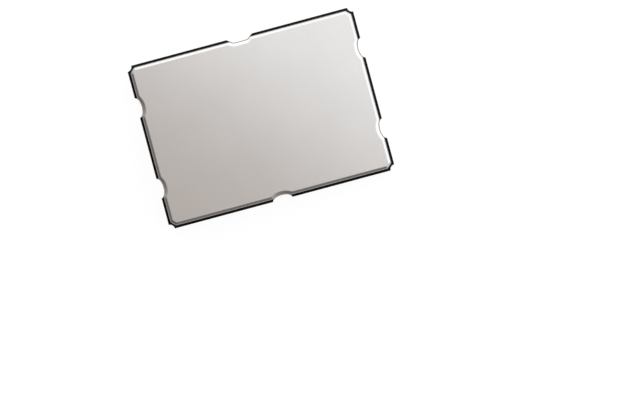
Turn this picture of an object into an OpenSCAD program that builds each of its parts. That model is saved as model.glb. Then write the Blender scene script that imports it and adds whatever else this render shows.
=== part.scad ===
// Surface-mount crystal clock oscillator: a black ceramic tray with four gold
// terminals and a welded metal lid, holding a quartz crystal and its driver chip.
// Millimetres. Z = 0 is the seating plane under the terminals, X runs along the
// body, Y runs across it towards the index notch and Z points up through the lid.

/* [Ceramic body] */
// Length of the body along X
body_l = 7.0; // [5.8:0.1:8.4]
// Width of the body along Y
body_w = 5.05; // [4.2:0.05:6.2]
// Radius of the quarter-round cut down each vertical corner
corner_r = 0.15; // [0.12:0.01:0.24]
// Width in plan of the wall around the cavity
wall_w = 0.80; // [0.64:0.02:1]
// Radius of the cavity's vertical corners
cavity_r = 0.25; // [0.1:0.05:0.4]

/* [Ceramic layers] */
// Thickness of the floor layer
floor_t = 0.30; // [0.2:0.01:0.5]
// Thickness of the layer around the chip, whose top is the bond shelf
bond_t = 0.25; // [0.15:0.01:0.4]
// Thickness of the layer whose top is the crystal shelf
shelf_t = 0.30; // [0.2:0.01:0.5]
// Height of the wall above the crystal shelf
wall_h = 0.40; // [0.3:0.01:0.6]
// Length of the crystal shelf at the crystal's held end
shelf_l = 0.85; // [0.7:0.05:1]
// Length of the shelf under the crystal's free end
far_shelf_l = 0.50; // [0.2:0.05:0.6]
// Width of the shelf along each long side of the cavity
side_shelf_w = 0.25; // [0.1:0.05:0.35]

/* [Side notches] */
// Width of the half-oval notch at each terminal
notch_w = 0.60; // [0.4:0.02:0.8]
// Depth of the half-oval notch
notch_d = 0.14; // [0.12:0.01:0.2]
// Spacing of the two notches in each short side
notch_pitch = 2.50; // [2:0.05:3.1]
// Width of the index notch's mouth
index_w = 0.80; // [0.64:0.02:0.96]
// Depth of the index notch
index_d = 0.135; // [0.1:0.005:0.17]
// Angle between the index notch's flanks and the long side
index_angle = 35; // [25:5:50]
// Radius at the foot of the index notch's flanks
index_r = 0.08; // [0.02:0.01:0.1]

/* [Terminals] */
// Length of each terminal's pad, inwards from the body's end
pad_l = 1.16; // [0.9:0.02:1.4]
// Width of each pad
pad_w = 0.98; // [0.8:0.02:1.2]
// Leg of the cut corner that marks pad 1
pad_mark = 0.32; // [0.1:0.02:0.4]
// Thickness of the pads
pad_t = 0.02; // [0.01:0.005:0.05]
// Thickness of the plating that lines a terminal's notch
plating_t = 0.02; // [0.01:0.005:0.05]

/* [Seal ring and lid] */
// Thickness of the braze under the ring
braze_t = 0.02; // [0.01:0.005:0.05]
// Height of the ring
ring_t = 0.20; // [0.1:0.01:0.3]
// Setback of the ring's inner edge from the cavity's edge
ring_setback = 0.10; // [0:0.02:0.2]
// Width of bare ceramic left around the lid
rim_w = 0.08; // [0.04:0.01:0.1]
// Width of bare ceramic between a corner cut and the lid
corner_rim = 0.06; // [0.03:0.01:0.08]
// Setback of the lid's edge from a notch
notch_rim = 0.01; // [0.005:0.001:0.02]
// Thickness of the lid
lid_t = 0.15; // [0.1:0.01:0.25]
// Width of the inner, steeper band of the lid's rolled edge
roll_in_w = 0.035; // [0.03:0.005:0.06]
// Width of the outer, shallower band of the rolled edge
roll_out_w = 0.04; // [0.03:0.01:0.06]
// Drop of the inner band
roll_in_h = 0.02; // [0.01:0.01:0.05]
// Drop of the outer band
roll_out_h = 0.02; // [0.01:0.01:0.04]
// How many times wider the rolled edge is in the notches
notch_roll = 1.3; // [1:0.1:1.6]

/* [Crystal] */
// Width of the quartz blank
crystal_w = 1.80; // [1.5:0.05:2.1]
// Thickness of the blank
crystal_t = 0.08; // [0.04:0.01:0.12]
// Clearance between each end of the blank and the cavity's wall
crystal_end_gap = 0.30; // [0.2:0.02:0.36]
// Length of the electrodes
electrode_l = 2.20; // [1.6:0.1:2.4]
// Width of the electrodes
electrode_w = 1.20; // [0.8:0.05:1.4]
// Thickness of the electrode films
electrode_t = 0.01; // [0.005:0.001:0.015]
// Width of the electrodes' tabs
tab_w = 0.45; // [0.4:0.01:0.5]
// Setback of each mounting pad's middle from the blank's long side
mount_in = 0.35; // [0.3:0.01:0.4]
// Side of the square mounting pads
mount_side = 0.55; // [0.48:0.01:0.6]
// Radius of the adhesive dots where they meet the blank
dot_r = 0.18; // [0.12:0.01:0.2]
// Spread of the dots' feet beyond that radius
dot_spread = 0.04; // [0:0.01:0.05]
// Height of the adhesive dots
dot_h = 0.04; // [0.02:0.005:0.08]

/* [Driver chip] */
// Length of the chip
die_l = 1.10; // [0.9:0.05:1.3]
// Width of the chip
die_w = 0.90; // [0.75:0.05:1.1]
// Thickness of the chip
die_t = 0.20; // [0.1:0.01:0.24]
// Gap between the chip and the pocket's walls
die_gap = 0.30; // [0.2:0.02:0.36]
// Thickness of the adhesive under the chip
attach_t = 0.02; // [0.01:0.005:0.04]
// Spread of that adhesive beyond the chip
attach_spread = 0.03; // [0:0.01:0.05]
// Spread of the metal pad beyond the adhesive
die_pad_spread = 0.07; // [0.02:0.01:0.12]

/* [Printed conductors] */
// Thickness of the printed metal
film_t = 0.015; // [0.01:0.001:0.02]
// Width of the conductors
lead_w = 0.20; // [0.15:0.01:0.24]
// Setback of the conductors from the pocket's edge
finger_back = 0.05; // [0.02:0.01:0.1]
// Distance from the pocket's edge to the turn towards terminals 1 and 4
turn_l = 0.55; // [0.4:0.05:0.55]
// Radius of the filled vias
via_r = 0.06; // [0.03:0.01:0.08]

/* [Bond wires] */
// Radius of the wire
wire_r = 0.0125; // [0.01:0.0005:0.015]
// Radius of the ball on the chip
ball_r = 0.032; // [0.025:0.001:0.04]
// Height of the ball
ball_h = 0.014; // [0.01:0.001:0.02]
// Height of the loop above the straight line between its ends
loop_h = 0.12; // [0.08:0.01:0.15]
// Setback of the balls from the chip's edge
ball_in = 0.08; // [0.06:0.01:0.12]
// Offset of each ball from the chip's centre lines
ball_off = 0.25; // [0.22:0.01:0.3]
// Distance from the start of a conductor to the wire's end
stitch_in = 0.12; // [0.08:0.01:0.2]
// Length of the wire's flattened end
stitch_l = 0.04; // [0.02:0.005:0.05]
// Thickness of the flattened end
stitch_t = 0.010; // [0.006:0.001:0.014]
// Width of the flattened end
stitch_w = 0.050; // [0.03:0.001:0.06]

/* [Hidden] */

$fn = 48;
// A cutter reaches this far past the face it cuts
over = 0.1;
// An electrode's tab reaches this far into the film that it joins
tab_lap = 0.1;
// Straight steps along half an oval notch, and along each foot of the index notch
oval_steps = 18;
foot_steps = 4;
// Steps along a bond wire's loop, and sides around the wire
loop_steps = 12;
wire_sides = 8;
// Power that gathers the loop's rise at the ball, and the step that its slope is taken over
loop_skew = 1.8;
slope_step = 0.01;

half_l = body_l / 2;
half_w = body_w / 2;
notch_y = notch_pitch / 2;

// Levels, from the seating plane up
z_floor = pad_t + floor_t;
z_bond = z_floor + bond_t;
z_shelf = z_bond + shelf_t;
z_rim = z_shelf + wall_h;
z_ring = z_rim + braze_t;
z_lid = z_ring + ring_t;

// The cavity at the lid's level, and the opening in the crystal shelf's layer
cavity_l = body_l - 2 * wall_w;
cavity_w = body_w - 2 * wall_w;
opening_l = cavity_l - shelf_l - far_shelf_l;
opening_w = cavity_w - 2 * side_shelf_w;
opening_x = (shelf_l - far_shelf_l) / 2;

// The chip's pocket, in the middle of that opening
pocket_l = die_l + 2 * die_gap;
pocket_w = die_w + 2 * die_gap;
die_x = opening_x;
z_die = z_floor + film_t + attach_t;

// The crystal, held over the shelf at its -X end
crystal_l = cavity_l - 2 * crystal_end_gap;
mount_x = -cavity_l / 2 + shelf_l / 2;
mount_y = crystal_w / 2 - mount_in;
z_crystal = z_shelf + film_t + dot_h + electrode_t;

// The lid's corners are cut so that bare ceramic shows inside each corner cut
lid_chamfer = sqrt(2) * (corner_r + corner_rim) - 2 * rim_w;

// --- Outlines ---------------------------------------------------------------

// Half an oval, from (0, a) round to (0, -a), reaching to x = -b
function half_oval(a, b) = [
    for (i = [0 : oval_steps]) let (t = 180 * i / oval_steps) [-b * sin(t), a * cos(t)]
];

// The index notch grown by e: a flat floor, two sloping flanks and a radius at
// the foot of each, as [depth, along] pairs from the line at depth d0.
function index_run(e, d0) = let (
    mouth = index_w / 2 + e / sin(index_angle),
    foot_x = index_w / 2 - (index_d - index_r) / tan(index_angle) - index_r / sin(index_angle),
    foot = [
        for (i = [0 : foot_steps]) let (t = index_angle * (1 - i / foot_steps))
        [index_d - index_r + (index_r + e) * cos(t), -foot_x - (index_r + e) * sin(t)]
    ],
    edge = mouth - d0 / tan(index_angle)
) concat(
    [[d0, -edge]],
    foot,
    [for (i = [foot_steps : -1 : 0]) [foot[i][0], -foot[i][1]]],
    [[d0, edge]]
);

// A half-oval notch grown by e, as [depth, along] pairs from the line at depth d0
function oval_run(e, d0) = let (
    a = notch_w / 2 + e,
    b = notch_d + e,
    start = asin(d0 / b)
) [
    for (i = [0 : oval_steps]) let (t = start + (180 - 2 * start) * i / oval_steps)
    [b * sin(t), -a * cos(t)]
];

// [depth, along] pairs set on the side of the body that faces the given angle
function on_side(run, angle, origin) = [
    for (p = run) origin + [
        -p[0] * cos(angle) - p[1] * sin(angle),
        -p[0] * sin(angle) + p[1] * cos(angle)
    ]
];

// The outline of the lid and the seal ring, moved inwards by e
function lid_loop(e) = let (
    x = half_l - rim_w - e,
    y = half_w - rim_w - e,
    c = lid_chamfer - e * (2 - sqrt(2)),
    oval = oval_run(notch_rim + notch_roll * e, rim_w + e),
    index = index_run(notch_rim + notch_roll * e, rim_w + e)
) concat(
    [[x - c, -y], [x, c - y]],
    on_side(oval, 0, [half_l, -notch_y]),
    on_side(oval, 0, [half_l, notch_y]),
    [[x, y - c], [x - c, y]],
    on_side(index, 90, [0, half_w]),
    [[c - x, y], [-x, y - c]],
    on_side(oval, 180, [-half_l, notch_y]),
    on_side(oval, 180, [-half_l, -notch_y]),
    [[-x, c - y], [c - x, -y]],
    on_side(oval, 270, [0, -half_w])
);

module rounded_rect(l, w, r) {
    square([l - 2 * r, w], center = true);
    square([l, w - 2 * r], center = true);
    for (sx = [-1, 1], sy = [-1, 1])
        translate([sx * (l / 2 - r), sy * (w / 2 - r)]) circle(r = r);
}

// A half-oval notch in the +X side, grown by e, reaching past the side by out
module notch(e, out) {
    a = notch_w / 2 + e;
    polygon(concat([[out, a]], half_oval(a, notch_d + e), [[out, -a]]));
}

// The +X, +Y terminal's notch
module terminal_notch(e, out) {
    translate([half_l, notch_y]) notch(e, out);
}

// Repeats a terminal's shape in all four corners
module in_corners() {
    for (sx = [0, 1], sy = [0, 1]) mirror([sx, 0, 0]) mirror([0, sy, 0]) children();
}

module body_outline() {
    difference() {
        square([body_l, body_w], center = true);
        in_corners() translate([half_l, half_w]) circle(r = corner_r);
        in_corners() terminal_notch(0, over);
        translate([0, -half_w]) rotate(-90) notch(0, over);
        polygon(on_side(index_run(0, -over), 90, [0, half_w]));
    }
}

// A straight run of a printed conductor between two points
module bar(a, b) {
    low = [min(a[0], b[0]), min(a[1], b[1])];
    high = [max(a[0], b[0]), max(a[1], b[1])];
    translate(low - [lead_w, lead_w] / 2) square(high - low + [lead_w, lead_w]);
}

// --- Ceramic tray and its conductors -----------------------------------------

// Four fired alumina layers: floor, bond shelf, crystal shelf and wall
module ceramic_base() {
    color("#2f2f2f") difference() {
        translate([0, 0, pad_t]) linear_extrude(z_rim - pad_t) body_outline();
        translate([0, 0, z_shelf]) linear_extrude(wall_h + over)
            rounded_rect(cavity_l, cavity_w, cavity_r);
        translate([opening_x, 0, z_bond]) linear_extrude(shelf_t + over)
            rounded_rect(opening_l, opening_w, cavity_r);
        translate([die_x, 0, z_floor]) linear_extrude(bond_t + over)
            square([pocket_l, pocket_w], center = true);
        in_corners() translate([0, 0, pad_t - over]) linear_extrude(z_shelf - pad_t + over)
            terminal_notch(plating_t, over);
        printed_leads();
    }
}

// A gold-plated pad under the floor and the plating that lines its notch
module terminal(mark) {
    color("#f0c453") {
        linear_extrude(pad_t) difference() {
            polygon([
                [half_l, notch_y + pad_w / 2], [half_l - pad_l, notch_y + pad_w / 2],
                [half_l - pad_l, notch_y - pad_w / 2 + mark],
                [half_l - pad_l + mark, notch_y - pad_w / 2], [half_l, notch_y - pad_w / 2]
            ]);
            terminal_notch(0, over);
        }
        linear_extrude(z_shelf) difference() {
            terminal_notch(plating_t, 0);
            terminal_notch(0, over);
        }
    }
}

module terminal_1() { terminal(pad_mark); }
module terminal_2() { mirror([1, 0, 0]) terminal(0); }
module terminal_3() { rotate(180) terminal(0); }
module terminal_4() { mirror([0, 1, 0]) terminal(0); }

// Printed metal on the bond shelf, stopping at the notch plating
module shelf_print() {
    translate([0, 0, z_bond]) linear_extrude(film_t) difference() {
        union() children();
        in_corners() terminal_notch(plating_t, over);
    }
}

// A via between two levels
module via(x, y, low, high) {
    translate([x, y, low]) cylinder(r = via_r, h = high - low);
}

// From the chip's +X edge to terminal 1
module lead_1() {
    start_x = die_x + pocket_l / 2 + finger_back + lead_w / 2;
    turn_x = die_x + pocket_l / 2 + turn_l;
    color("#d9b45a") shelf_print() {
        bar([start_x, ball_off], [turn_x, ball_off]);
        bar([turn_x, ball_off], [turn_x, notch_y]);
        bar([turn_x, notch_y], [half_l, notch_y]);
    }
}

module lead_4() { mirror([0, 1, 0]) lead_1(); }

// The strip from the chip's +Y edge to terminal 2
module side_strip() {
    start_y = pocket_w / 2 + finger_back + lead_w / 2;
    shelf_print() {
        bar([die_x - ball_off, start_y], [die_x - ball_off, notch_y]);
        bar([die_x - ball_off, notch_y], [-half_l, notch_y]);
    }
}

// The ground conductor also reaches down to the chip's pad and up to the seal ring
module lead_2() {
    ring_via_x = -half_l + (wall_w + notch_d + plating_t) / 2;
    color("#d9b45a") {
        side_strip();
        via(die_x - ball_off, notch_y, z_floor + film_t, z_bond);
        via(ring_via_x, notch_y, z_bond + film_t, z_rim);
    }
}

module lead_3() { color("#d9b45a") mirror([0, 1, 0]) side_strip(); }

// From the chip's -X edge to a crystal mounting pad, through the shelf's layer
module crystal_lead() {
    start_x = die_x - pocket_l / 2 - finger_back - lead_w / 2;
    color("#d9b45a") {
        shelf_print() {
            bar([start_x, ball_off], [mount_x, ball_off]);
            bar([mount_x, ball_off], [mount_x, mount_y]);
        }
        via(mount_x, mount_y, z_bond + film_t, z_shelf);
        translate([mount_x, mount_y, z_shelf]) linear_extrude(film_t)
            square(mount_side, center = true);
    }
}

module crystal_lead_a() { crystal_lead(); }
module crystal_lead_b() { mirror([0, 1, 0]) crystal_lead(); }

// The pad under the chip, with a tongue under the bond shelf to the ground via
module die_pad() {
    spread = 2 * (attach_spread + die_pad_spread);
    color("#d9b45a") translate([0, 0, z_floor]) linear_extrude(film_t) {
        translate([die_x, 0]) square([die_l + spread, die_w + spread], center = true);
        bar([die_x - ball_off, 0], [die_x - ball_off, notch_y]);
    }
}

module printed_leads() {
    lead_1();
    lead_2();
    lead_3();
    lead_4();
    crystal_lead_a();
    crystal_lead_b();
    die_pad();
}

// --- Driver chip --------------------------------------------------------------

module die_attach() {
    color("#b9b9b4") translate([die_x, 0, z_floor + film_t]) linear_extrude(attach_t)
        square([die_l + 2 * attach_spread, die_w + 2 * attach_spread], center = true);
}

module oscillator_die() {
    color("#5d6570") translate([die_x, 0, z_die]) linear_extrude(die_t)
        square([die_l, die_w], center = true);
}

// One ring of a wire: half width w, half height h, at distance u along and height z,
// leaning by tilt from upright. A flat side faces down, so h is measured to a flat.
function wire_ring(u, z, tilt, w, h) = [
    for (i = [0 : wire_sides - 1]) let (
        t = 360 * (i + 0.5) / wire_sides,
        flat = cos(180 / wire_sides),
        rise = h * sin(t) / flat
    ) [u - rise * sin(tilt), w * cos(t) / flat, z + rise * cos(tilt)]
];

// A gold wire in the XZ plane from a ball at the origin to a flattened end at
// (span, drop). The loop leaves the ball upright and lands at a low angle.
module bond_wire(span, drop) {
    run = span - stitch_l;
    top = ball_h + wire_r;
    land = drop + wire_r;
    function along(s) = run * pow(s, loop_skew);
    function height(s) = top + (land - top) * s + loop_h * sin(180 * s);
    function lean(s) = atan2(
        height(s + slope_step) - height(s), along(s + slope_step) - along(s));
    rings = concat(
        [wire_ring(0, 0, 90, ball_r, ball_r), wire_ring(0, ball_h, 90, ball_r, ball_r)],
        [
            for (i = [0 : loop_steps - 1]) let (s = i / loop_steps)
            wire_ring(along(s), height(s), lean(s), wire_r, wire_r)
        ],
        [
            for (u = [run, span])
            wire_ring(u, drop + stitch_t / 2, 0, stitch_w / 2, stitch_t / 2)
        ]
    );
    n = wire_sides;
    last = len(rings) - 1;
    color("#e8c25a") polyhedron(
        [for (ring = rings, p = ring) p],
        concat(
            [[for (i = [0 : n - 1]) i]],
            [
                for (k = [0 : last - 1], i = [0 : n - 1]) let (j = (i + 1) % n)
                [k * n + i, (k + 1) * n + i, (k + 1) * n + j, k * n + j]
            ],
            [[for (i = [n - 1 : -1 : 0]) last * n + i]]
        )
    );
}

// A wire from the chip's edge out over the pocket, in the direction of the angle.
// reach is the chip's half size that way, and side the offset from its centre line.
module wire_out(angle, reach, side) {
    span = ball_in + die_gap + finger_back + stitch_in;
    drop = z_bond + film_t - z_die - die_t;
    translate([die_x, 0, z_die + die_t]) rotate(angle)
        translate([reach - ball_in, side, 0]) bond_wire(span, drop);
}

module bond_wire_1() { wire_out(0, die_l / 2, ball_off); }
module bond_wire_2() { wire_out(90, die_w / 2, ball_off); }
module bond_wire_3() { wire_out(-90, die_w / 2, -ball_off); }
module bond_wire_4() { wire_out(0, die_l / 2, -ball_off); }
module bond_wire_5() { wire_out(180, die_l / 2, -ball_off); }
module bond_wire_6() { wire_out(180, die_l / 2, ball_off); }

// --- Crystal ------------------------------------------------------------------

// A dot of silver-filled adhesive on a mounting pad
module adhesive_dot() {
    color("#c9c9c4") translate([mount_x, mount_y, z_shelf + film_t])
        cylinder(r1 = dot_r + dot_spread, r2 = dot_r, h = dot_h);
}

module adhesive_dot_a() { adhesive_dot(); }
module adhesive_dot_b() { mirror([0, 1, 0]) adhesive_dot(); }

module crystal_blank() {
    color("#e6eef2") translate([0, 0, z_crystal]) linear_extrude(crystal_t)
        square([crystal_l, crystal_w], center = true);
}

// The film on one face: a rectangle in the middle and a tab to the held end
module electrode_film(side) {
    tab_end = -electrode_l / 2 + tab_lap;
    linear_extrude(electrode_t) {
        square([electrode_l, electrode_w], center = true);
        translate([-crystal_l / 2, side * mount_y - tab_w / 2])
            square([tab_end + crystal_l / 2, tab_w]);
    }
}

// The upper film folds round the held end to reach adhesive dot a
module electrode_top() {
    tab_l = mount_x + dot_r + crystal_l / 2;
    color("#d8d8d6") {
        translate([0, 0, z_crystal + crystal_t]) electrode_film(1);
        translate([-crystal_l / 2 - electrode_t, mount_y - tab_w / 2, z_crystal - electrode_t])
            cube([electrode_t, tab_w, crystal_t + 2 * electrode_t]);
        translate([-crystal_l / 2, mount_y - tab_w / 2, z_crystal - electrode_t])
            cube([tab_l, tab_w, electrode_t]);
    }
}

module electrode_bottom() {
    color("#d8d8d6") translate([0, 0, z_crystal - electrode_t]) electrode_film(-1);
}

// --- Seal ring and lid --------------------------------------------------------

module ring_outline() {
    difference() {
        polygon(lid_loop(0));
        rounded_rect(cavity_l + 2 * ring_setback, cavity_w + 2 * ring_setback,
            cavity_r + ring_setback);
    }
}

module braze_ring() {
    color("#cfcfca") translate([0, 0, z_rim]) linear_extrude(braze_t) ring_outline();
}

module seal_ring() {
    color("#c8c2ae") translate([0, 0, z_ring]) linear_extrude(ring_t) ring_outline();
}

// The rolled edge as a closed band: flat below, upright inside and outside, and
// sloping in two steps on top
module rolled_edge() {
    rolled_w = roll_out_w + roll_in_w;
    loops = [
        [0, 0],
        [0, lid_t - roll_in_h - roll_out_h],
        [roll_out_w, lid_t - roll_in_h],
        [rolled_w, lid_t],
        [rolled_w, 0]
    ];
    n = len(lid_loop(0));
    m = len(loops);
    polyhedron(
        [for (level = loops, p = lid_loop(level[0])) [p[0], p[1], level[1]]],
        [
            for (k = [0 : m - 1], i = [0 : n - 1]) let (j = (i + 1) % n, next = (k + 1) % m)
            [k * n + i, next * n + i, next * n + j, k * n + j]
        ]
    );
}

// A plate whose edge is rolled down all round, notches included
module lid() {
    color("#d2cfcb") translate([0, 0, z_lid]) {
        linear_extrude(lid_t) polygon(lid_loop(roll_out_w + roll_in_w));
        rolled_edge();
    }
}

ceramic_base();
terminal_1();
terminal_2();
terminal_3();
terminal_4();
lead_1();
lead_2();
lead_3();
lead_4();
crystal_lead_a();
crystal_lead_b();
die_pad();
die_attach();
oscillator_die();
bond_wire_1();
bond_wire_2();
bond_wire_3();
bond_wire_4();
bond_wire_5();
bond_wire_6();
adhesive_dot_a();
adhesive_dot_b();
crystal_blank();
electrode_top();
electrode_bottom();
braze_ring();
seal_ring();
lid();
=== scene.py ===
"""A surface-mount crystal clock oscillator, built up in the order in which it is assembled:
a fired ceramic tray, its plated metal, the chip and its wires, the crystal, the seal ring
and the lid. Each section makes one piece or one group of like pieces."""

import math

import bmesh
import bpy
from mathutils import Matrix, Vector


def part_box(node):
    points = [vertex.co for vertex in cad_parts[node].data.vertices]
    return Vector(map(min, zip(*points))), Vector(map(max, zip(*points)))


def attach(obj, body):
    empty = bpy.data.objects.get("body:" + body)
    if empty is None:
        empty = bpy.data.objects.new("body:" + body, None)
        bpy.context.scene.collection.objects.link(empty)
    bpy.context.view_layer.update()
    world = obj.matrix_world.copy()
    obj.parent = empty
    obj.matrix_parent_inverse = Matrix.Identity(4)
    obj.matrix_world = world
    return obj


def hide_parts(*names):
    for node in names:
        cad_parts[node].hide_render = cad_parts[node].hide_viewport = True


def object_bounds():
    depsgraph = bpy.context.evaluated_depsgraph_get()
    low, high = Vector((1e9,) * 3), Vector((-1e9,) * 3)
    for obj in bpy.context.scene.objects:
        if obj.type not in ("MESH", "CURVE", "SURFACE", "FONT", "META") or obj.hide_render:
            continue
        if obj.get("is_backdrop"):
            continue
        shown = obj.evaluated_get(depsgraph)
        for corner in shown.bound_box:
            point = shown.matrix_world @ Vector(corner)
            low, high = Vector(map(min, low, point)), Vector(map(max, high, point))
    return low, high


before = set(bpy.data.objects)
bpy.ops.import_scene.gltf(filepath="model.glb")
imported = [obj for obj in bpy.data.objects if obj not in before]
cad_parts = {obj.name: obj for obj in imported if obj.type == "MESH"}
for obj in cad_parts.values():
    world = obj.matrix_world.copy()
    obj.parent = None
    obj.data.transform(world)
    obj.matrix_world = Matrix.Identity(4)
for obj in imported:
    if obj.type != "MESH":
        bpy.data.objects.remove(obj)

cad_low, cad_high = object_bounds()

# --- Ceramic tray -----------------------------------------------------------------------
# Four layers of black alumina tape, punched, stacked, fired into one piece and snapped out
# of a panel. The cut corners and half-oval notches are what is left of holes that it
# shared with its neighbours; the sloped notch in the +Y side shows which way round it is.

# Shapes are worked out in millimetres and brought to metres when their mesh is made.
METRES = 0.001


def reach(node):
    """The lowest and highest corners of a node, in millimetres."""
    low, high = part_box(node)
    return Vector(low) / METRES, Vector(high) / METRES


tray_low, tray_high = reach("ceramic_base")
half_l, half_w = tray_high.x, tray_high.y

corner_cut = 0.15  # radius of the quarter-round cut in each corner
notch_half, notch_depth = 0.30, 0.14
notch_y = 1.25  # distance of the end notches from the middle
index_half, index_depth, index_slope, index_foot = 0.40, 0.135, math.radians(35), 0.08
lining_t = 0.02  # plating in the end notches, which are punched that much deeper

floor_top = reach("die_pad")[0].z
bond_shelf = reach("lead_1")[0].z
crystal_shelf = reach("terminal_1")[1].z


def oval_run(grow, start, steps=28):
    """A half-oval notch as (depth, along) pairs, from the line at depth start and back."""
    a, b = notch_half + grow, notch_depth + grow
    first = math.asin(start / b)
    turns = [first + (math.pi - 2 * first) * i / steps for i in range(steps + 1)]
    return [(b * math.sin(t), -a * math.cos(t)) for t in turns]


def index_run(grow, start, steps=8):
    """The index notch in the same way: two sloped flanks, each with a rounded foot."""
    mouth = index_half + grow / math.sin(index_slope)
    middle = (
        index_half
        - (index_depth - index_foot) / math.tan(index_slope)
        - index_foot / math.sin(index_slope)
    )
    radius = index_foot + grow
    foot = []
    for i in range(steps + 1):
        turn = index_slope * (1 - i / steps)
        depth = index_depth - index_foot + radius * math.cos(turn)
        foot.append((depth, -middle - radius * math.sin(turn)))
    edge = mouth - start / math.tan(index_slope)
    return [(start, -edge), *foot, *((d, -a) for d, a in reversed(foot)), (start, edge)]


def outline(inset, grow, lining, corner):
    """An anticlockwise loop round the package, with its straight sides moved in by inset and
    its notches grown. corner is the run past the first corner, from one side to the next."""
    end = oval_run(grow + lining, inset)
    plain = oval_run(grow, inset)
    index = index_run(grow, inset)
    loop = []
    for turn, x, y, notches in (
        (0, half_l, -half_w, [(end, half_l, -notch_y), (end, half_l, notch_y)]),
        (90, half_l, half_w, [(index, 0, half_w)]),
        (180, -half_l, half_w, [(end, -half_l, notch_y), (end, -half_l, -notch_y)]),
        (270, -half_l, -half_w, [(plain, 0, -half_w)]),
    ):
        c, s = math.cos(math.radians(turn)), math.sin(math.radians(turn))
        loop += [Vector((x + u * c - v * s, y + u * s + v * c)) for u, v in corner]
        for run, at_x, at_y in notches:
            loop += [Vector((at_x - d * c - a * s, at_y - d * s + a * c)) for d, a in run]
    return loop


def quarter_cut(inset, steps=12):
    """A corner cut by a quarter of a round hole centred on the corner."""
    radius = corner_cut + inset
    first = math.asin(inset / radius)
    turns = [math.pi - first - (math.pi / 2 - 2 * first) * i / steps for i in range(steps + 1)]
    return [(radius * math.cos(t), radius * math.sin(t)) for t in turns]


def round_rect(length, width, radius, x=0.0, steps=8):
    """An anticlockwise rectangle with rounded corners, centred on (x, 0)."""
    loop = []
    for turn, sx, sy in ((270, 1, -1), (0, 1, 1), (90, -1, 1), (180, -1, -1)):
        for i in range(steps + 1):
            t = math.radians(turn + 90 * i / steps)
            loop.append(Vector((
                x + sx * (length / 2 - radius) + radius * math.cos(t),
                sy * (width / 2 - radius) + radius * math.sin(t),
            )))
    return loop


def ring(shape, loop, z):
    """Puts a flat loop into a mesh at height z."""
    return [shape.verts.new((p.x, p.y, z)) for p in loop]


def loft(shape, rings):
    """Joins each ring of vertices to the next with quads."""
    for low, high in zip(rings, rings[1:]):
        for i in range(len(low)):
            shape.faces.new((low[i - 1], low[i], high[i], high[i - 1]))


def split(loops, step=0.1):
    """Adds the same points along the long sides of flat loops that run alike."""
    def sides(loop):
        return zip(loop, loop[1:] + loop[:1])

    parts = [max(1, math.ceil((b - a).length / step)) for a, b in sides(loops[0])]
    return [
        [a.lerp(b, k / n) for (a, b), n in zip(sides(loop), parts) for k in range(n)]
        for loop in loops
    ]


def fill_between(shape, outer, inner):
    """Fills the flat face between two rings, always across the shorter diagonal."""
    first = min(range(len(inner)), key=lambda k: (inner[k].co - outer[0].co).length)
    outer, inner = outer + outer[:1], inner[first:] + inner[:first + 1]
    i = j = 0
    while i < len(outer) - 1 or j < len(inner) - 1:
        a, b = outer[i], inner[j]
        if j == len(inner) - 1 or i < len(outer) - 1 and (
            (outer[i + 1].co - b.co).length < (inner[j + 1].co - a.co).length
        ):
            i += 1
            shape.faces.new((a, outer[i], b))
        else:
            j += 1
            shape.faces.new((a, inner[j], b))


def piece(name, shape, finish, crease=35):
    """Turns a closed shape in millimetres into an object in metres, smooth up to a crease."""
    bmesh.ops.scale(shape, vec=(METRES,) * 3, verts=shape.verts)
    bmesh.ops.recalc_face_normals(shape, faces=shape.faces)
    mesh = bpy.data.meshes.new(name)
    shape.to_mesh(mesh)
    shape.free()
    mesh.shade_smooth()
    mesh.set_sharp_from_angle(angle=math.radians(crease))
    mesh.materials.append(finish)
    made = bpy.data.objects.new(name, mesh)
    bpy.context.collection.objects.link(made)
    return made


def srgb(code):
    """A colour written as sRGB hex, as the linear colour that a shader takes."""
    parts = [int(code[i:i + 2], 16) / 255 for i in (1, 3, 5)]
    return [c / 12.92 if c <= 0.04045 else ((c + 0.055) / 1.055) ** 2.4 for c in parts] + [1.0]


def add(tree, kind, inputs=None, **settings):
    """Adds a node with its settings, and sets or links its inputs."""
    node = tree.nodes.new(kind)
    for name, value in settings.items():
        setattr(node, name, value)
    for socket, value in (inputs or {}).items():
        if isinstance(value, bpy.types.NodeSocket):
            tree.links.new(value, node.inputs[socket])
        else:
            node.inputs[socket].default_value = value
    return node


def new_finish(name, **sockets):
    """A material with its shader's plain values set; returns it, its tree, its shader and
    the place on the piece that its patterns follow."""
    material = bpy.data.materials.new(name)
    material.use_nodes = True
    shader = material.node_tree.nodes["Principled BSDF"]
    for socket, value in sockets.items():
        shader.inputs[socket.replace("_", " ")].default_value = value
    place = add(material.node_tree, "ShaderNodeTexCoord").outputs["Object"]
    return material, material.node_tree, shader, place


# Black alumina, tape-cast and fired: a dead matt near-black with a fine sintered grain and
# slightly cloudy. It is greyer everywhere else than on the up-facing top of the rim, which is
# painted darker as painted shade. The grain is 0.005 mm across and is drawn as 0.03 mm so that it
# shows.
alumina, tree, shader, place = new_finish(
    "black_alumina_fired", IOR=1.76, Specular_IOR_Level=0.045
)
grain = add(tree, "ShaderNodeTexNoise", {
    "Vector": place, "Scale": 1 / (0.03 * METRES), "Detail": 3.0, "Roughness": 0.65,
}).outputs["Fac"]
cloud = add(tree, "ShaderNodeTexNoise", {
    "Vector": place, "Scale": 1 / (0.8 * METRES), "Detail": 2.0,
}).outputs["Fac"]
speckle = add(tree, "ShaderNodeMix", {
    0: grain, 6: srgb("#1C1C1D"), 7: srgb("#383838"),
}, data_type="RGBA").outputs[2]
body = add(tree, "ShaderNodeMix", {
    0: cloud, 6: speckle, 7: srgb("#2A2929"),
}, data_type="RGBA").outputs[2]
tree.links.new(add(tree, "ShaderNodeMapRange", {
    "Value": grain, "To Min": 0.50, "To Max": 0.68,
}).outputs[0], shader.inputs["Roughness"])
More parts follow.
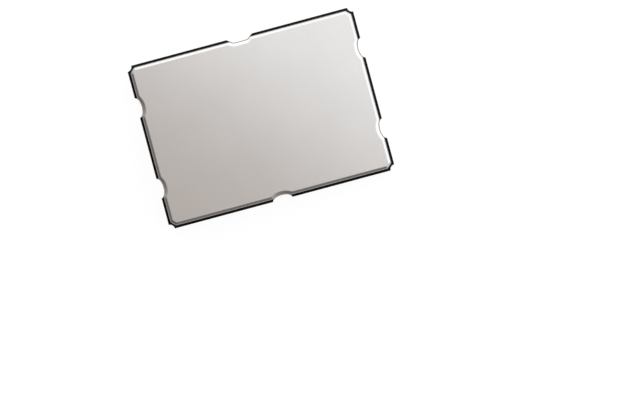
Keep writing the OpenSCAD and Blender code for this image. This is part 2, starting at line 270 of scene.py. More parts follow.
upright = add(tree, "ShaderNodeSeparateXYZ", {
    0: add(tree, "ShaderNodeNewGeometry").outputs["True Normal"],
}).outputs["Z"]
facing_up = add(tree, "ShaderNodeMapRange", {
    "Value": upright, "From Min": 0.5, "From Max": 0.9,
}).outputs[0]
fade_from, fade_to = 0.05, 0.02  # depths under the rim's top where the painted shade sets in
on_rim = add(tree, "ShaderNodeMapRange", {
    "Value": add(tree, "ShaderNodeSeparateXYZ", {0: place}).outputs["Z"],
    "From Min": (tray_high.z - fade_from) * METRES,
    "From Max": (tray_high.z - fade_to) * METRES,
}).outputs[0]
# Painted shade: the up-facing top of the rim is painted down to 0.3 of the body's colour.
rim_top_shade_mask = add(tree, "ShaderNodeMath", {
    0: facing_up, 1: on_rim,
}, operation="MULTIPLY").outputs[0]
painted_rim_shade = add(tree, "ShaderNodeMapRange", {
    "Value": rim_top_shade_mask, "To Min": 1.0, "To Max": 0.3,
}).outputs[0]
tree.links.new(add(tree, "ShaderNodeVectorMath", {
    0: body, "Scale": painted_rim_shade,
}, operation="SCALE").outputs[0], shader.inputs["Base Color"])
side = add(tree, "ShaderNodeMath", {0: upright, 1: upright}, operation="MULTIPLY").outputs[0]
relief = add(tree, "ShaderNodeMapRange", {
    "Value": side, "From Min": 0.0, "From Max": 0.5, "To Min": 1.0, "To Max": 0.35,
}).outputs[0]
bump = add(tree, "ShaderNodeBump", {
    "Height": grain, "Strength": relief, "Distance": 0.004 * METRES,
}).outputs[0]
tree.links.new(bump, shader.inputs["Normal"])

# Heights and insets of the sides, from the foot up: a rounded arris at each end and a
# shallow crease where two layers meet. Below the crystal shelf the end notches are deeper.
arris, crease_half, crease_depth = 0.006, 0.008, 0.006
beside = 0.006  # an extra ring this far from each turn keeps the flats between them flat
levels = [(tray_low.z, arris + beside, lining_t)]
for turn in (0, 30, 60, 90):
    t = math.radians(turn)
    levels.append((tray_low.z + arris * (1 - math.cos(t)), arris * (1 - math.sin(t)), lining_t))
levels.append((tray_low.z + arris + beside, 0.0, lining_t))
for seam in (floor_top, bond_shelf, crystal_shelf):
    above = 0.0 if seam == crystal_shelf else lining_t
    levels += [
        (seam - crease_half - beside, 0.0, lining_t),
        (seam - crease_half, 0.0, lining_t),
        (seam, crease_depth, lining_t),
        (seam + crease_half, 0.0, above),
        (seam + crease_half + beside, 0.0, above),
    ]
levels.append((tray_high.z - arris - beside, 0.0, 0.0))
for turn in (90, 60, 30, 0):
    t = math.radians(turn)
    levels.append((tray_high.z - arris * (1 - math.cos(t)), arris * (1 - math.sin(t)), 0.0))
levels.append((tray_high.z, arris + beside, 0.0))

# The stepped cavity: the crystal's chamber, the opening in its shelf and the chip's pocket
wall, cavity_r = 0.80, 0.25
held_shelf, far_shelf, side_shelf = 0.85, 0.50, 0.25
die_low, die_high = reach("oscillator_die")
die_gap = 0.30  # between the chip and the sides of its pocket
pocket_r = 0.03
chamber_l, chamber_w = 2 * (half_l - wall), 2 * (half_w - wall)
opening_x = (held_shelf - far_shelf) / 2

shape = bmesh.new()
loops = split([outline(e, e, lining, quarter_cut(e)) for _, e, lining in levels])
sides = [ring(shape, loop, z) for loop, (z, _, _) in zip(loops, levels)]
loft(shape, sides)
shape.faces.new(sides[0])
rim = sides[-1]
for top, bottom, loop in (
    (tray_high.z, crystal_shelf, round_rect(chamber_l, chamber_w, cavity_r)),
    (crystal_shelf, bond_shelf, round_rect(
        chamber_l - held_shelf - far_shelf, chamber_w - 2 * side_shelf, cavity_r, opening_x)),
    (bond_shelf, floor_top, round_rect(
        die_high.x - die_low.x + 2 * die_gap, die_high.y - die_low.y + 2 * die_gap,
        pocket_r, (die_low.x + die_high.x) / 2)),
):
    loop = split([loop])[0]
    mouth, foot = ring(shape, loop, top), ring(shape, loop, bottom)
    loft(shape, [mouth, foot])
    fill_between(shape, rim, mouth)
    rim = foot
shape.faces.new(rim)
tray = piece("ceramic_tray", shape, alumina)
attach(tray, "root")
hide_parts("ceramic_base")

# --- Terminals --------------------------------------------------------------------------
# A solder pad under each corner and the lining of the notch above it: tungsten paste
# printed and fired with the ceramic, then plated with nickel and gold. Terminal 1's pad
# has its inner corner cut off.

pad_l, pad_w, pad_mark = 1.16, 0.98, 0.32
pad_t = reach("ceramic_base")[0].z
pad_round = 0.005  # the plating leaves no sharp edges
set_back = 0.008  # the lining stops this far short of the ceramic's own edge

# Soft gold, plated over nickel on printed tungsten: a warm satin yellow. The nodules under
# it are about 0.01 mm across and are drawn as 0.03 mm. Its colour drifts between a deeper and
# a paler gold over about a millimetre: painted sheen, in place of reflected light.
gold, tree, shader, place = new_finish("gold_plated_over_nickel", Metallic=1.0)
nodules = add(tree, "ShaderNodeTexNoise", {
    "Vector": place, "Scale": 1 / (0.03 * METRES), "Detail": 2.0, "Roughness": 0.5,
}).outputs["Fac"]
drift = add(tree, "ShaderNodeTexNoise", {
    "Vector": place, "Scale": 1 / (0.9 * METRES), "Detail": 1.0,
}).outputs["Fac"]
# Painted sheen: a slow random drift between a deeper and a paler gold stands in for reflected
# light.
tint = add(tree, "ShaderNodeMix", {
    0: add(tree, "ShaderNodeMapRange", {
        "Value": drift, "From Min": 0.35, "From Max": 0.65,
    }).outputs[0],
    6: srgb("#F4C85A"), 7: srgb("#FBE17A"),
}, data_type="RGBA").outputs[2]
tree.links.new(tint, shader.inputs["Base Color"])
tree.links.new(add(tree, "ShaderNodeMapRange", {
    "Value": nodules, "To Min": 0.26, "To Max": 0.42,
}).outputs[0], shader.inputs["Roughness"])
tree.links.new(add(tree, "ShaderNodeBump", {
    "Height": nodules, "Strength": 0.5, "Distance": 0.002 * METRES,
}).outputs[0], shader.inputs["Normal"])


def terminal_shape(mark):
    """The +X, +Y terminal: a pad, and on it the plating that lines the notch."""
    shape = bmesh.new()
    inner = [(half_l - d, notch_y + a) for d, a in oval_run(set_back, 0.0)]
    outer = [(half_l - d, notch_y + a) for d, a in oval_run(lining_t, 0.0)]
    low, high, back = notch_y - pad_w / 2, notch_y + pad_w / 2, half_l - pad_l
    edge = [(half_l, high), (back, high), (back, low + mark), (back + mark, low), (half_l, low)]
    if not mark:
        edge.pop(3)
    heights = (0.0, pad_t, crystal_shelf)
    faces = [[shape.verts.new((x, y, z)) for x, y in inner] for z in heights]
    backs = [[shape.verts.new((x, y, z)) for x, y in outer] for z in heights[1:]]
    rims = [[shape.verts.new((x, y, z)) for x, y in edge] for z in heights[:2]]
    shape.faces.new(rims[0] + faces[0])
    shape.faces.new(rims[1] + backs[0])
    for a, b in ((faces[0], faces[1]), (faces[1], faces[2]), (backs[0], backs[1]),
                 (faces[2], backs[1]), (rims[0], rims[1])):
        for i in range(1, len(a)):
            shape.faces.new((a[i - 1], a[i], b[i], b[i - 1]))
    for side in (0, -1):
        shape.faces.new((faces[1][side], faces[2][side], backs[1][side], backs[0][side]))
        shape.faces.new((
            rims[0][-1 - side], rims[1][-1 - side], backs[0][side], faces[1][side], faces[0][side]
        ))
    bmesh.ops.recalc_face_normals(shape, faces=shape.faces)
    sharp = [e for e in shape.edges if e.calc_face_angle(0.0) > math.radians(40)]
    bmesh.ops.bevel(
        shape, geom=sharp, offset=pad_round, segments=2, profile=0.5, affect="EDGES",
        clamp_overlap=True,
    )
    return shape


for number, sx, sy in ((1, 1, 1), (2, -1, 1), (3, -1, -1), (4, 1, -1)):
    shape = terminal_shape(pad_mark if number == 1 else 0.0)
    bmesh.ops.scale(shape, vec=(sx, sy, 1), verts=shape.verts)
    terminal = piece(f"gold_terminal_{number}", shape, gold)
    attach(terminal, "root")
    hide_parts(f"terminal_{number}")

# --- Printed conductors -----------------------------------------------------------------
# Conductors and vias of tungsten paste, printed and filled between the tape layers and
# fired with them. Where they lie bare in the cavity they carry the same nickel and gold.

# Gold over printed tungsten: the screen's mesh and the coarse powder leave it matt. The
# mesh is 0.05 mm from thread to thread.
printed, tree, shader, place = new_finish("printed_tungsten_gold_flash", Metallic=1.0)
wave_length = 0.314  # of Blender's wave texture at a scale of 1
weave = [
    add(tree, "ShaderNodeTexWave", {
        "Vector": place, "Scale": wave_length / (0.05 * METRES), "Distortion": 0.6, "Detail": 1.0,
    }, bands_direction=axis).outputs["Fac"]
    for axis in ("X", "Y")
]
mesh_marks = add(tree, "ShaderNodeMath", {
    0: weave[0], 1: weave[1],
}, operation="MULTIPLY").outputs[0]
tree.links.new(add(tree, "ShaderNodeMix", {
    0: mesh_marks, 6: srgb("#D9AE55"), 7: srgb("#EDCB78"),
}, data_type="RGBA").outputs[2], shader.inputs["Base Color"])
tree.links.new(add(tree, "ShaderNodeMapRange", {
    "Value": mesh_marks, "To Min": 0.38, "To Max": 0.52,
}).outputs[0], shader.inputs["Roughness"])
tree.links.new(add(tree, "ShaderNodeBump", {
    "Height": mesh_marks, "Strength": 0.6, "Distance": 0.003 * METRES,
}).outputs[0], shader.inputs["Normal"])


def refinish(names, finish):
    """Gives the frame's own pieces a finish."""
    for name in names:
        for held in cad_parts[name].material_slots:
            held.material = finish


refinish(
    ("lead_1", "lead_2", "lead_3", "lead_4", "crystal_lead_a", "crystal_lead_b", "die_pad"),
    printed,
)

# --- Driver chip ------------------------------------------------------------------------
# A silicon chip with the oscillator circuit and the output stage, cut from a wafer and
# glued to its metal pad with silver-filled epoxy.

chip_corner = 0.003
lane_w, lane_t = 0.025, 0.006  # the bare lane round the circuit, where the saw cuts
bond_pad, bond_pad_t = 0.09, 0.002
ball_r = 0.032  # of the ball that each bond wire starts from
wire_ways = ((1, 0), (0, 1), (0, -1), (1, 0), (-1, 0), (-1, 0))  # from ball to far end

# Processed silicon: dark blue-grey oxide over blocks of circuit 0.12 mm across, with
# aluminium tracks 0.02 mm apart, drawn wider than they are so that they show. The sawn
# sides and the lane are plain dark grey.
silicon, tree, shader, place = new_finish("silicon_diced_polished", IOR=3.9, Specular_IOR_Level=0.4)
blocks = add(tree, "ShaderNodeTexVoronoi", {
    "Vector": place, "Scale": 1 / (0.12 * METRES), "Randomness": 0.55,
}, distance="CHEBYCHEV")
track_from = 0.82  # the wave is a track where it stands higher than this
tracks = add(tree, "ShaderNodeTexWave", {
    "Vector": place, "Scale": wave_length / (0.02 * METRES), "Distortion": 0.0,
}, bands_direction="Y").outputs["Fac"]
tone = add(tree, "ShaderNodeMix", {
    0: add(tree, "ShaderNodeSeparateColor", {0: blocks.outputs["Color"]}).outputs[0],
    6: srgb("#343C4E"), 7: srgb("#5F5A68"),
}, data_type="RGBA").outputs[2]
circuit = add(tree, "ShaderNodeMix", {
    0: add(tree, "ShaderNodeMath", {0: tracks, 1: track_from}, operation="GREATER_THAN").outputs[0],
    6: tone, 7: srgb("#8B8B93"),
}, data_type="RGBA").outputs[2]
on_top = add(tree, "ShaderNodeMath", {
    0: add(tree, "ShaderNodeSeparateXYZ", {0: place}).outputs["Z"],
    1: (die_high.z - lane_t / 2) * METRES,
}, operation="GREATER_THAN").outputs[0]
tree.links.new(add(tree, "ShaderNodeMix", {
    0: on_top, 6: srgb("#4A4C52"), 7: circuit,
}, data_type="RGBA").outputs[2], shader.inputs["Base Color"])
tree.links.new(add(tree, "ShaderNodeMapRange", {
    "Value": blocks.outputs["Distance"], "To Min": 0.12, "To Max": 0.30,
}).outputs[0], shader.inputs["Roughness"])

# Sputtered aluminium: a bright, even satin, with grain of 0.002 mm drawn as 0.01 mm.
aluminium, tree, shader, place = new_finish("aluminium_sputtered", Metallic=1.0)
grain = add(tree, "ShaderNodeTexNoise", {
    "Vector": place, "Scale": 1 / (0.01 * METRES),
}).outputs["Fac"]
tree.links.new(add(tree, "ShaderNodeMix", {
    0: grain, 6: srgb("#D2D3D6"), 7: srgb("#E6E7E9"),
}, data_type="RGBA").outputs[2], shader.inputs["Base Color"])
tree.links.new(add(tree, "ShaderNodeMapRange", {
    "Value": grain, "To Min": 0.25, "To Max": 0.40,
}).outputs[0], shader.inputs["Roughness"])


def ball_place(number):
    """Where on the chip a bond wire's ball sits."""
    low, high = reach(f"bond_wire_{number}")
    (dx, dy), middle, half = wire_ways[number - 1], (low + high) / 2, (high - low) / 2
    return middle.x - dx * (half.x - ball_r), middle.y - dy * (half.y - ball_r)


shape = bmesh.new()
rings = [
    ring(shape, round_rect(
        die_high.x - die_low.x - 2 * e, die_high.y - die_low.y - 2 * e, chip_corner,
        (die_low.x + die_high.x) / 2, steps=2), z)
    for e, z in ((0.0, die_low.z), (0.0, die_high.z - lane_t), (lane_w, die_high.z - lane_t),
                 (lane_w, die_high.z))
]
loft(shape, rings)
shape.faces.new(rings[0])
shape.faces.new(rings[-1])
for number in range(1, len(wire_ways) + 1):
    at = Vector((*ball_place(number), die_high.z + bond_pad_t / 2))
    cube = bmesh.ops.create_cube(shape, size=1.0)["verts"]
    bmesh.ops.scale(shape, vec=(bond_pad, bond_pad, bond_pad_t), verts=cube)
    bmesh.ops.translate(shape, vec=at, verts=cube)
    for face in {f for v in cube for f in v.link_faces}:
        face.material_index = 1
chip = piece("silicon_chip", shape, silicon)
chip.data.materials.append(aluminium)
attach(chip, "root")
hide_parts("oscillator_die")

# Silver-filled epoxy, dispensed and cured: dull silver with flakes of about 0.01 mm,
# drawn as 0.02 mm.
epoxy, tree, shader, place = new_finish("silver_epoxy_cured", Metallic=0.7)
flakes = add(tree, "ShaderNodeTexVoronoi", {
    "Vector": place, "Scale": 1 / (0.02 * METRES),
})
flake_tone = add(tree, "ShaderNodeSeparateColor", {0: flakes.outputs["Color"]}).outputs[0]
tree.links.new(add(tree, "ShaderNodeMix", {
    0: flake_tone, 6: srgb("#8F8F8A"), 7: srgb("#DAD9D3"),
}, data_type="RGBA").outputs[2], shader.inputs["Base Color"])
tree.links.new(add(tree, "ShaderNodeMapRange", {
    "Value": flake_tone, "To Min": 0.35, "To Max": 0.60,
}).outputs[0], shader.inputs["Roughness"])
tree.links.new(add(tree, "ShaderNodeBump", {
    "Height": flakes.outputs["Distance"], "Strength": 0.5, "Distance": 0.004 * METRES,
}).outputs[0], shader.inputs["Normal"])


def adhesive_shape(low, high, spread, loop_at):
    """Adhesive squeezed out under a part: widest at its foot, with rounded sides."""
    shape = bmesh.new()
    rings = []
    for lean in (0, 30, 60, 90):
        t = math.radians(lean)
        height = low.z + (high.z - low.z) * math.sin(t)
        rings.append(ring(shape, loop_at(spread * (1 - math.cos(t))), height))
    loft(shape, rings)
    shape.faces.new(rings[0])
    shape.faces.new(rings[-1])
    return shape


low, high = reach("die_attach")
size, middle = high - low, (low + high) / 2
glue_r = 0.035  # of the glue's corners, at its foot
shape = adhesive_shape(
    low, high, die_low.x - low.x,
    lambda inset: round_rect(size.x - 2 * inset, size.y - 2 * inset, glue_r, middle.x),
)
glue = piece("epoxy_under_chip", shape, epoxy)
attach(glue, "root")
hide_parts("die_attach")

# --- Bond wires -------------------------------------------------------------------------
# Six gold wires of 0.025 mm, each welded to the chip as a squashed ball, looped out over
# the pocket and pressed flat onto a conductor.

wire_r, ball_h = 0.0125, 0.014
stitch_l, stitch_w, stitch_t = 0.04, 0.05, 0.010
loop_rise = 0.285  # handle height that brings the loop up to the height of the node's
landing = (0.35, 0.35, -1.0)  # the last handle, as parts of the way back to the ball
film_t = 0.015  # thickness of a printed conductor

# Drawn gold wire: bright and smooth, with faint lines along it from the drawing die.
wire_gold, tree, shader, place = new_finish("gold_wire_drawn", Metallic=1.0)
drawn = add(tree, "ShaderNodeTexNoise", {
    "Vector": place, "Scale": 1 / (0.012 * METRES), "Detail": 1.0,
}).outputs["Fac"]
tree.links.new(add(tree, "ShaderNodeMix", {
    0: drawn, 6: srgb("#EFC25A"), 7: srgb("#FCD97C"),
}, data_type="RGBA").outputs[2], shader.inputs["Base Color"])
tree.links.new(add(tree, "ShaderNodeMapRange", {
    "Value": drawn, "To Min": 0.14, "To Max": 0.24,
}).outputs[0], shader.inputs["Roughness"])

wire_tree = bpy.data.node_groups.new("bond_wire", "GeometryNodeTree")
wire_tree.is_modifier = True
wire_sockets = {
    name: wire_tree.interface.new_socket(name, in_out="INPUT", socket_type=kind).identifier
    for name, kind in (
        ("Ball foot", "NodeSocketVector"), ("Wire end", "NodeSocketVector"),
        ("Loop rise", "NodeSocketFloat"), ("Wire radius", "NodeSocketFloat"),
        ("Ball size", "NodeSocketVector"), ("Stitch size", "NodeSocketVector"),
        ("Finish", "NodeSocketMaterial"),
    )
}
wire_tree.interface.new_socket("Geometry", in_out="OUTPUT", socket_type="NodeSocketGeometry")
given = add(wire_tree, "NodeGroupInput").outputs
ball_rise = add(wire_tree, "ShaderNodeVectorMath", {
    0: given["Ball size"], 1: (0.0, 0.0, 1.0),
}, operation="MULTIPLY").outputs[0]
ball_top = add(wire_tree, "ShaderNodeVectorMath", {
    0: given["Ball foot"], 1: ball_rise,
}).outputs[0]
rise = add(wire_tree, "ShaderNodeCombineXYZ", {"Z": given["Loop rise"]}).outputs[0]
back = add(wire_tree, "ShaderNodeVectorMath", {
    0: given["Ball foot"], 1: given["Wire end"],
}, operation="SUBTRACT").outputs[0]
lead_in = add(wire_tree, "ShaderNodeVectorMath", {
    0: back, 1: landing,
}, operation="MULTIPLY").outputs[0]
path = add(wire_tree, "GeometryNodeCurvePrimitiveBezierSegment", {
    "Resolution": 24,
    "Start": ball_top,
    "Start Handle": add(wire_tree, "ShaderNodeVectorMath", {0: ball_top, 1: rise}).outputs[0],
    "End Handle": add(wire_tree, "ShaderNodeVectorMath", {
        0: given["Wire end"], 1: lead_in,
    }).outputs[0],
    "End": given["Wire end"],
}, mode="POSITION").outputs[0]
round_wire = add(wire_tree, "GeometryNodeCurvePrimitiveCircle", {
    "Resolution": 12, "Radius": given["Wire radius"],
}).outputs[0]
tube = add(wire_tree, "GeometryNodeCurveToMesh", {
    "Curve": path, "Profile Curve": round_wire, "Fill Caps": True,
}).outputs[0]
parts = [tube]
for centre, size in ((ball_top, "Ball size"), (given["Wire end"], "Stitch size")):
    bead = add(wire_tree, "GeometryNodeMeshUVSphere", {
        "Segments": 16, "Rings": 8, "Radius": 1.0,
    }).outputs[0]
    parts.append(add(wire_tree, "GeometryNodeTransform", {
        "Geometry": bead, "Translation": centre, "Scale": given[size],
    }).outputs[0])
joined = add(wire_tree, "GeometryNodeJoinGeometry")
for part in parts:
    wire_tree.links.new(part, joined.inputs[0])
solid = add(wire_tree, "GeometryNodeRealizeInstances", {0: joined.outputs[0]}).outputs[0]
dressed = add(wire_tree, "GeometryNodeSetMaterial", {
    "Geometry": solid, "Material": given["Finish"],
}).outputs[0]
add(wire_tree, "NodeGroupOutput", {0: dressed})

lead_top = bond_shelf + film_t
for number, (dx, dy) in enumerate(wire_ways, 1):
    low, high = reach(f"bond_wire_{number}")
    middle, half = (low + high) / 2, (high - low) / 2
    start = (*ball_place(number), die_high.z)
    end = (
        middle.x + dx * (half.x - stitch_l / 2), middle.y + dy * (half.y - stitch_l / 2),
        lead_top + stitch_t / 2,
    )
    across = (stitch_l / 2, stitch_w / 2) if dx else (stitch_w / 2, stitch_l / 2)
    maker = bpy.data.objects.new("wire_maker", bpy.data.meshes.new("wire_maker"))
    bpy.context.collection.objects.link(maker)
    nodes = maker.modifiers.new("wire", "NODES")
    nodes.node_group = wire_tree
    for name, value in (
        ("Ball foot", start), ("Wire end", end), ("Loop rise", loop_rise),
        ("Wire radius", wire_r), ("Ball size", (ball_r, ball_r, ball_h)),
        ("Stitch size", (*across, stitch_t / 2)),
    ):
        nodes[wire_sockets[name]] = (
            [v * METRES for v in value] if isinstance(value, tuple) else value * METRES
        )
    nodes[wire_sockets["Finish"]] = wire_gold
    seen = maker.evaluated_get(bpy.context.evaluated_depsgraph_get())
    mesh = bpy.data.meshes.new_from_object(seen)
    mesh.name = f"gold_bond_wire_{number}"
    mesh.shade_smooth()
    wire = bpy.data.objects.new(f"gold_bond_wire_{number}", mesh)
    bpy.context.collection.objects.link(wire)
    bpy.data.objects.remove(maker)
    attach(wire, "root")
    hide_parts(f"bond_wire_{number}")

# --- Crystal ----------------------------------------------------------------------------
# A thin plate of quartz, lapped and etched, with a silver electrode on each face, held at
# one end by two dots of silver-filled epoxy.

# Lapped and etched quartz: clear, with a fine frost of etch pits about 0.02 mm across.
quartz, tree, shader, place = new_finish(
    "quartz_lapped_etched", Base_Color=srgb("#EDF3F5"), IOR=1.544, Transmission_Weight=0.85
)
pits = add(tree, "ShaderNodeTexVoronoi", {
    "Vector": place, "Scale": 1 / (0.02 * METRES),
}).outputs["Distance"]
tree.links.new(add(tree, "ShaderNodeMapRange", {
    "Value": pits, "To Min": 0.18, "To Max": 0.32,
}).outputs[0], shader.inputs["Roughness"])
tree.links.new(add(tree, "ShaderNodeBump", {
    "Height": pits, "Strength": 0.3, "Distance": 0.001 * METRES,
}).outputs[0], shader.inputs["Normal"])
refinish(("crystal_blank",), quartz)

# Evaporated silver: bright, with the quartz's frost showing through and a faint yellow
# bloom towards one side.
silver, tree, shader, place = new_finish("silver_evaporated_film", Metallic=1.0)
bloom = add(tree, "ShaderNodeTexNoise", {
    "Vector": place, "Scale": 1 / (1.2 * METRES),
}).outputs["Fac"]
frost = add(tree, "ShaderNodeTexNoise", {
    "Vector": place, "Scale": 1 / (0.02 * METRES), "Detail": 2.0,
}).outputs["Fac"]
tree.links.new(add(tree, "ShaderNodeMix", {
    0: bloom, 6: srgb("#DDDCD8"), 7: srgb("#E4DCC8"),
}, data_type="RGBA").outputs[2], shader.inputs["Base Color"])
tree.links.new(add(tree, "ShaderNodeMapRange", {
    "Value": frost, "To Min": 0.28, "To Max": 0.42,
}).outputs[0], shader.inputs["Roughness"])
refinish(("electrode_top", "electrode_bottom"), silver)


def dot_loop(middle, radius, steps=40):
    """A nearly round loop, drawn in a little on three sides, as the adhesive sets."""
    loop = []
    for i in range(steps):
        t = 2 * math.pi * i / steps
        r = radius * (0.98 + 0.02 * math.cos(3 * t))
        loop.append(Vector((middle.x + r * math.cos(t), middle.y + r * math.sin(t))))
    return loop


dot_spread = 0.04  # how much narrower a dot is at its top than at its foot
for letter in "ab":
    low, high = reach(f"adhesive_dot_{letter}")
    middle, radius = (low + high) / 2, (high.x - low.x) / 2
    shape = adhesive_shape(
        low, high, dot_spread, lambda inset: dot_loop(middle, radius - inset)
    )
    dot = piece(f"epoxy_dot_{letter}", shape, epoxy)
    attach(dot, "root")
    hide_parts(f"adhesive_dot_{letter}")

# --- Seal ring --------------------------------------------------------------------------
# A frame stamped from iron-nickel-cobalt alloy, brazed to the printed metal on the tray's
# rim with silver-copper alloy, and plated with nickel.

ring_low, ring_high = reach("seal_ring")
rim_w = half_l - ring_high.x  # bare ceramic left outside the ring,
notch_rim, corner_rim = 0.01, 0.06  # in the notches and inside the corner cuts
notch_spread = 1.3  # the lid's rolled edge is this many times wider in the notches
chamfer = math.sqrt(2) * (corner_cut + corner_rim) - 2 * rim_w
braze_low, braze_high = reach("braze_ring")
bore_gap = 0.10  # the ring's opening is this much wider all round than the cavity
bore_l, bore_w, bore_r = chamber_l + 2 * bore_gap, chamber_w + 2 * bore_gap, cavity_r + bore_gap


def chamfered(inset):
    """The run past a corner that is cut straight across."""
    cut = chamfer - (inset - rim_w) * (2 - math.sqrt(2))
    return [(-inset - cut, inset), (-inset, inset + cut)]


def stamped_loops(insets, step=0.02, passes=2):
    """Like loops at several insets from the ring's edge, split finely and with the sharp
    turns in plan rubbed round, as stamping and plating leave them."""
    loops = [
        outline(rim_w + e, notch_rim + notch_spread * e, 0.0, chamfered(rim_w + e))
        for e in insets
    ]
    made = []
    for fine in split(loops, step):
        for _ in range(passes):
            fine = [
                (fine[i - 1] + 2 * fine[i] + fine[(i + 1) % len(fine)]) / 4
                for i in range(len(fine))
            ]
        made.append(fine)
    return made


def frame_shape(profile, bore_chamfer):
    """A closed frame whose outside follows a profile of (inset, height) pairs, foot first."""
    shape = bmesh.new()
    outside = [
        ring(shape, loop, z)
        for loop, (_, z) in zip(stamped_loops([e for e, _ in profile]), profile)
    ]
    bottom, top = profile[0][1], profile[-1][1]
    steps = ((bore_chamfer, top), (0, top - bore_chamfer), (0, bottom + bore_chamfer),
             (bore_chamfer, bottom))
    loops = split([round_rect(bore_l + 2 * e, bore_w + 2 * e, bore_r + e) for e, _ in steps])
    bore = [ring(shape, loop, z) for loop, (_, z) in zip(loops, steps)]
    loft(shape, outside)
    loft(shape, bore)
    fill_between(shape, outside[0], bore[-1])
    fill_between(shape, outside[-1], bore[0])
    return shape


# Satin nickel, plated on a stamped and tumbled alloy: a warm pale grey, matt from the
# dull bath, with grain of about 0.01 mm drawn as 0.025 mm and a slow drift in tone.
nickel, tree, shader, place = new_finish("nickel_plated_satin", Metallic=1.0)
plating = add(tree, "ShaderNodeTexNoise", {
    "Vector": place, "Scale": 1 / (0.025 * METRES), "Detail": 2.0, "Roughness": 0.6,
}).outputs["Fac"]
drift = add(tree, "ShaderNodeTexNoise", {
    "Vector": place, "Scale": 1 / (1.5 * METRES), "Detail": 2.0,
}).outputs["Fac"]
tree.links.new(add(tree, "ShaderNodeMix", {
    0: drift, 6: srgb("#D0C9C4"), 7: srgb("#D7CFCA"),
}, data_type="RGBA").outputs[2], shader.inputs["Base Color"])
tree.links.new(add(tree, "ShaderNodeMapRange", {
    "Value": plating, "To Min": 0.33, "To Max": 0.41,
}).outputs[0], shader.inputs["Roughness"])
tree.links.new(add(tree, "ShaderNodeBump", {
    "Height": plating, "Strength": 0.15, "Distance": 0.001 * METRES,
}).outputs[0], shader.inputs["Normal"])

# Silver-copper braze, melted and plated over: brighter and smoother than the ring.
braze, tree, shader, place = new_finish("silver_copper_braze_flowed", Metallic=1.0)
flow = add(tree, "ShaderNodeTexNoise", {
    "Vector": place, "Scale": 1 / (0.15 * METRES), "Detail": 2.0,
}).outputs["Fac"]
tree.links.new(add(tree, "ShaderNodeMix", {
    0: flow, 6: srgb("#C9C3B4"), 7: srgb("#DDD8CC"),
}, data_type="RGBA").outputs[2], shader.inputs["Base Color"])
tree.links.new(add(tree, "ShaderNodeMapRange", {
    "Value": flow, "To Min": 0.22, "To Max": 0.38,
}).outputs[0], shader.inputs["Roughness"])

# The braze leans in from its foot to the ring; the ring has a small bevel below and a
# rounded arris above, and its last point keeps the top flat beside it.
shape = frame_shape([
    (0.0, braze_low.z), (0.002, braze_low.z + 0.005), (0.008, braze_high.z),
], bore_chamfer=0.004)
braze_frame = piece("braze_fillet", shape, braze)
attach(braze_frame, "root")
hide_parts("braze_ring")

shape = frame_shape([
    (0.010, ring_low.z), (0.008, ring_low.z + 0.006), (0.008, ring_high.z - 0.012),
    (0.011, ring_high.z - 0.004), (0.018, ring_high.z), (0.028, ring_high.z),
], bore_chamfer=0.01)
seal = piece("seal_frame", shape, nickel)
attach(seal, "root")
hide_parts("seal_ring")

# --- Lid --------------------------------------------------------------------------------
# A plate of the same alloy, nickel plated, laid on the ring and seam-welded to it. Two
# tapered wheels roll the weld along the edge, which leaves it sloping down in two steps.

lid_low, lid_high = reach("lid")
lid_top = lid_high.z
run_in, run_out = 0.035, 0.04  # widths of the steeper inner step and of the outer one
drop_in, drop_out = 0.02, 0.02
foot_bevel = 0.012
flat_edge = 0.02  # an extra ring this far in from the slope keeps the top flat

# The edge from the foot up, as (inset, height) pairs. Each pass then cuts its corners off,
# which rounds them.
profile = [
    (foot_bevel, lid_low.z), (0.0, lid_low.z + foot_bevel),
    (0.0, lid_top - drop_in - drop_out), (run_out, lid_top - drop_in),
    (run_out + run_in, lid_top), (run_out + run_in + flat_edge, lid_top),
]
for _ in range(2):
    cut = [profile[0]]
    for (e0, z0), (e1, z1) in zip(profile, profile[1:]):
        cut += [(0.75 * e0 + 0.25 * e1, 0.75 * z0 + 0.25 * z1),
                (0.25 * e0 + 0.75 * e1, 0.25 * z0 + 0.75 * z1)]
    profile = cut + [profile[-1]]
shape = bmesh.new()
rings = [
    ring(shape, loop, z)
    for loop, (_, z) in zip(stamped_loops([e for e, _ in profile]), profile)
]
loft(shape, rings)
shape.faces.new(rings[0])
shape.faces.new(rings[-1])
cover = piece("nickel_lid", shape, nickel, crease=60)
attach(cover, "root")
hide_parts("lid")

# --- Studio -----------------------------------------------------------------------------
# A white table, one softbox, and a soft surround that is brighter towards one corner, dim
# near the table, brightest half way up and a little dimmer overhead.

lie = math.radians(15.03)  # the package lies turned this far on the table
right = Vector((math.cos(lie), -math.sin(lie), 0.0))
up = Vector((math.sin(lie), math.cos(lie), 0.0))
bright_way = Vector((1.0, 1.0, 0.0)).normalized()

# Matt white card. The camera sees it white, with a soft shadow under the package, and
# metal sees it pale grey; for all other light it is plain card.
card = bpy.data.materials.new("white_card_matt")
card.use_nodes = True
tree = card.node_tree
tree.nodes.clear()
rays = add(tree, "ShaderNodeLightPath").outputs
seen_ray = add(tree, "ShaderNodeMath", {
    0: rays["Is Camera Ray"], 1: rays["Is Glossy Ray"],
}, operation="ADD").outputs[0]
seen_ray = add(tree, "ShaderNodeMath", {
    0: seen_ray, 1: rays["Is Transmission Ray"],
}, operation="ADD", use_clamp=True).outputs[0]
plain_card = add(tree, "ShaderNodeBsdfDiffuse", {"Color": (0.8, 0.8, 0.8, 1)}).outputs[0]
shown_card = add(tree, "ShaderNodeAddShader", {
    0: add(tree, "ShaderNodeEmission", {"Strength": add(tree, "ShaderNodeMapRange", {
        "Value": rays["Is Camera Ray"], "To Min": 0.60, "To Max": 0.94,
    }).outputs[0]}).outputs[0],
    1: add(tree, "ShaderNodeBsdfDiffuse", {"Color": (0.12, 0.12, 0.12, 1)}).outputs[0],
}).outputs[0]
surface = add(tree, "ShaderNodeMixShader", {0: seen_ray, 1: plain_card, 2: shown_card}).outputs[0]
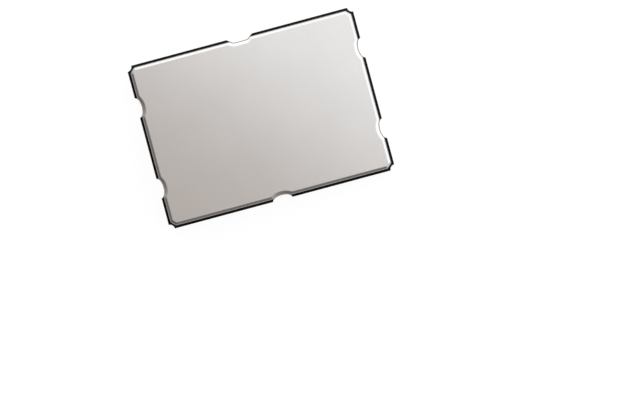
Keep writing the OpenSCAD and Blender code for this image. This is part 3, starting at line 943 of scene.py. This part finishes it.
surface = add(tree, "ShaderNodeMixShader", {
    0: add(tree, "ShaderNodeNewGeometry").outputs["Backfacing"],
    1: surface, 2: add(tree, "ShaderNodeBsdfTransparent").outputs[0],
}).outputs[0]
add(tree, "ShaderNodeOutputMaterial", {"Surface": surface})

mesh = bpy.data.meshes.new("table")
half_table = 0.6
mesh.from_pydata([
    (half_table * x, half_table * y, 0.0) for x, y in ((-1, -1), (1, -1), (1, 1), (-1, 1))
], [], [(0, 1, 2, 3)])
table = bpy.data.objects.new("table", mesh)
mesh.materials.append(card)
bpy.context.collection.objects.link(table)
table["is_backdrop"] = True

surround = bpy.data.worlds.new("surround")
bpy.context.scene.world = surround
surround.use_nodes = True
tree = surround.node_tree
tree.nodes.clear()
way = add(tree, "ShaderNodeTexCoord").outputs["Generated"]
across = add(tree, "ShaderNodeVectorMath", {
    0: way, 1: bright_way,
}, operation="DOT_PRODUCT").outputs["Value"]
height = add(tree, "ShaderNodeSeparateXYZ", {0: way}).outputs["Z"]
tone = add(tree, "ShaderNodeMapRange", {
    "Value": across, "From Min": -0.6, "From Max": 0.45, "To Min": 0.10, "To Max": 0.94,
}).outputs[0]
near_table = add(tree, "ShaderNodeMapRange", {
    "Value": height, "From Min": 0.20, "From Max": 0.50, "To Min": 0.20, "To Max": 1.35,
}).outputs[0]
overhead = add(tree, "ShaderNodeMapRange", {
    "Value": height, "From Min": 0.66, "From Max": 0.88, "To Min": 1.0, "To Max": 0.76,
}).outputs[0]
for share in (near_table, overhead):
    tone = add(tree, "ShaderNodeMath", {0: tone, 1: share}, operation="MULTIPLY").outputs[0]
warmth = add(tree, "ShaderNodeMapRange", {
    "Value": height, "From Min": 0.4, "From Max": 0.9,
}).outputs[0]
tint = add(tree, "ShaderNodeMix", {
    0: warmth, 6: (0.93, 0.975, 1.0, 1.0), 7: (1.0, 0.960, 0.929, 1.0),
}, data_type="RGBA").outputs[2]
tinted = add(tree, "ShaderNodeVectorMath", {
    0: tint, "Scale": tone,
}, operation="SCALE").outputs[0]
light = add(tree, "ShaderNodeMix", {
    0: add(tree, "ShaderNodeLightPath").outputs["Is Camera Ray"], 6: tinted, 7: (1, 1, 1, 1),
}, data_type="RGBA").outputs[2]
back = add(tree, "ShaderNodeBackground", {"Color": light, "Strength": 1.0}).outputs[0]
add(tree, "ShaderNodeOutputWorld", {"Surface": back})

softbox = bpy.data.lights.new("softbox", "AREA")
softbox.shape = "RECTANGLE"
softbox.size, softbox.size_y = 0.026, 0.070
softbox.energy = 0.00593
softbox.color = (0.768, 0.903, 1.0)
key = bpy.data.objects.new("softbox", softbox)
near_edge = 0.6 * METRES  # from above the middle of the package to the softbox's near edge
box_height = 0.016
key.location = bright_way * (near_edge + softbox.size / 2) + Vector((0, 0, box_height))
key.rotation_euler = (0.0, 0.0, math.radians(45))
key.visible_camera = False
bpy.context.collection.objects.link(key)

lens = bpy.data.cameras.new("camera")
lens.lens, lens.sensor_width = 900.0, 36.0
seen_width = 19.166 * METRES  # of the plane of the lid
distance = seen_width * lens.lens / lens.sensor_width
aside, below = 1.770, 2.454  # from the middle of the package to the middle of the view
camera = bpy.data.objects.new("camera", lens)
camera.location = (
    (aside * right - below * up) * METRES + Vector((0, 0, cad_high[2] + distance))
)
camera.rotation_euler = (0.0, 0.0, -lie)
lens.clip_start, lens.clip_end = 0.05, 1.0
bpy.context.collection.objects.link(camera)
bpy.context.scene.camera = camera
bpy.context.scene.view_settings.view_transform = "Standard"

low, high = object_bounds()
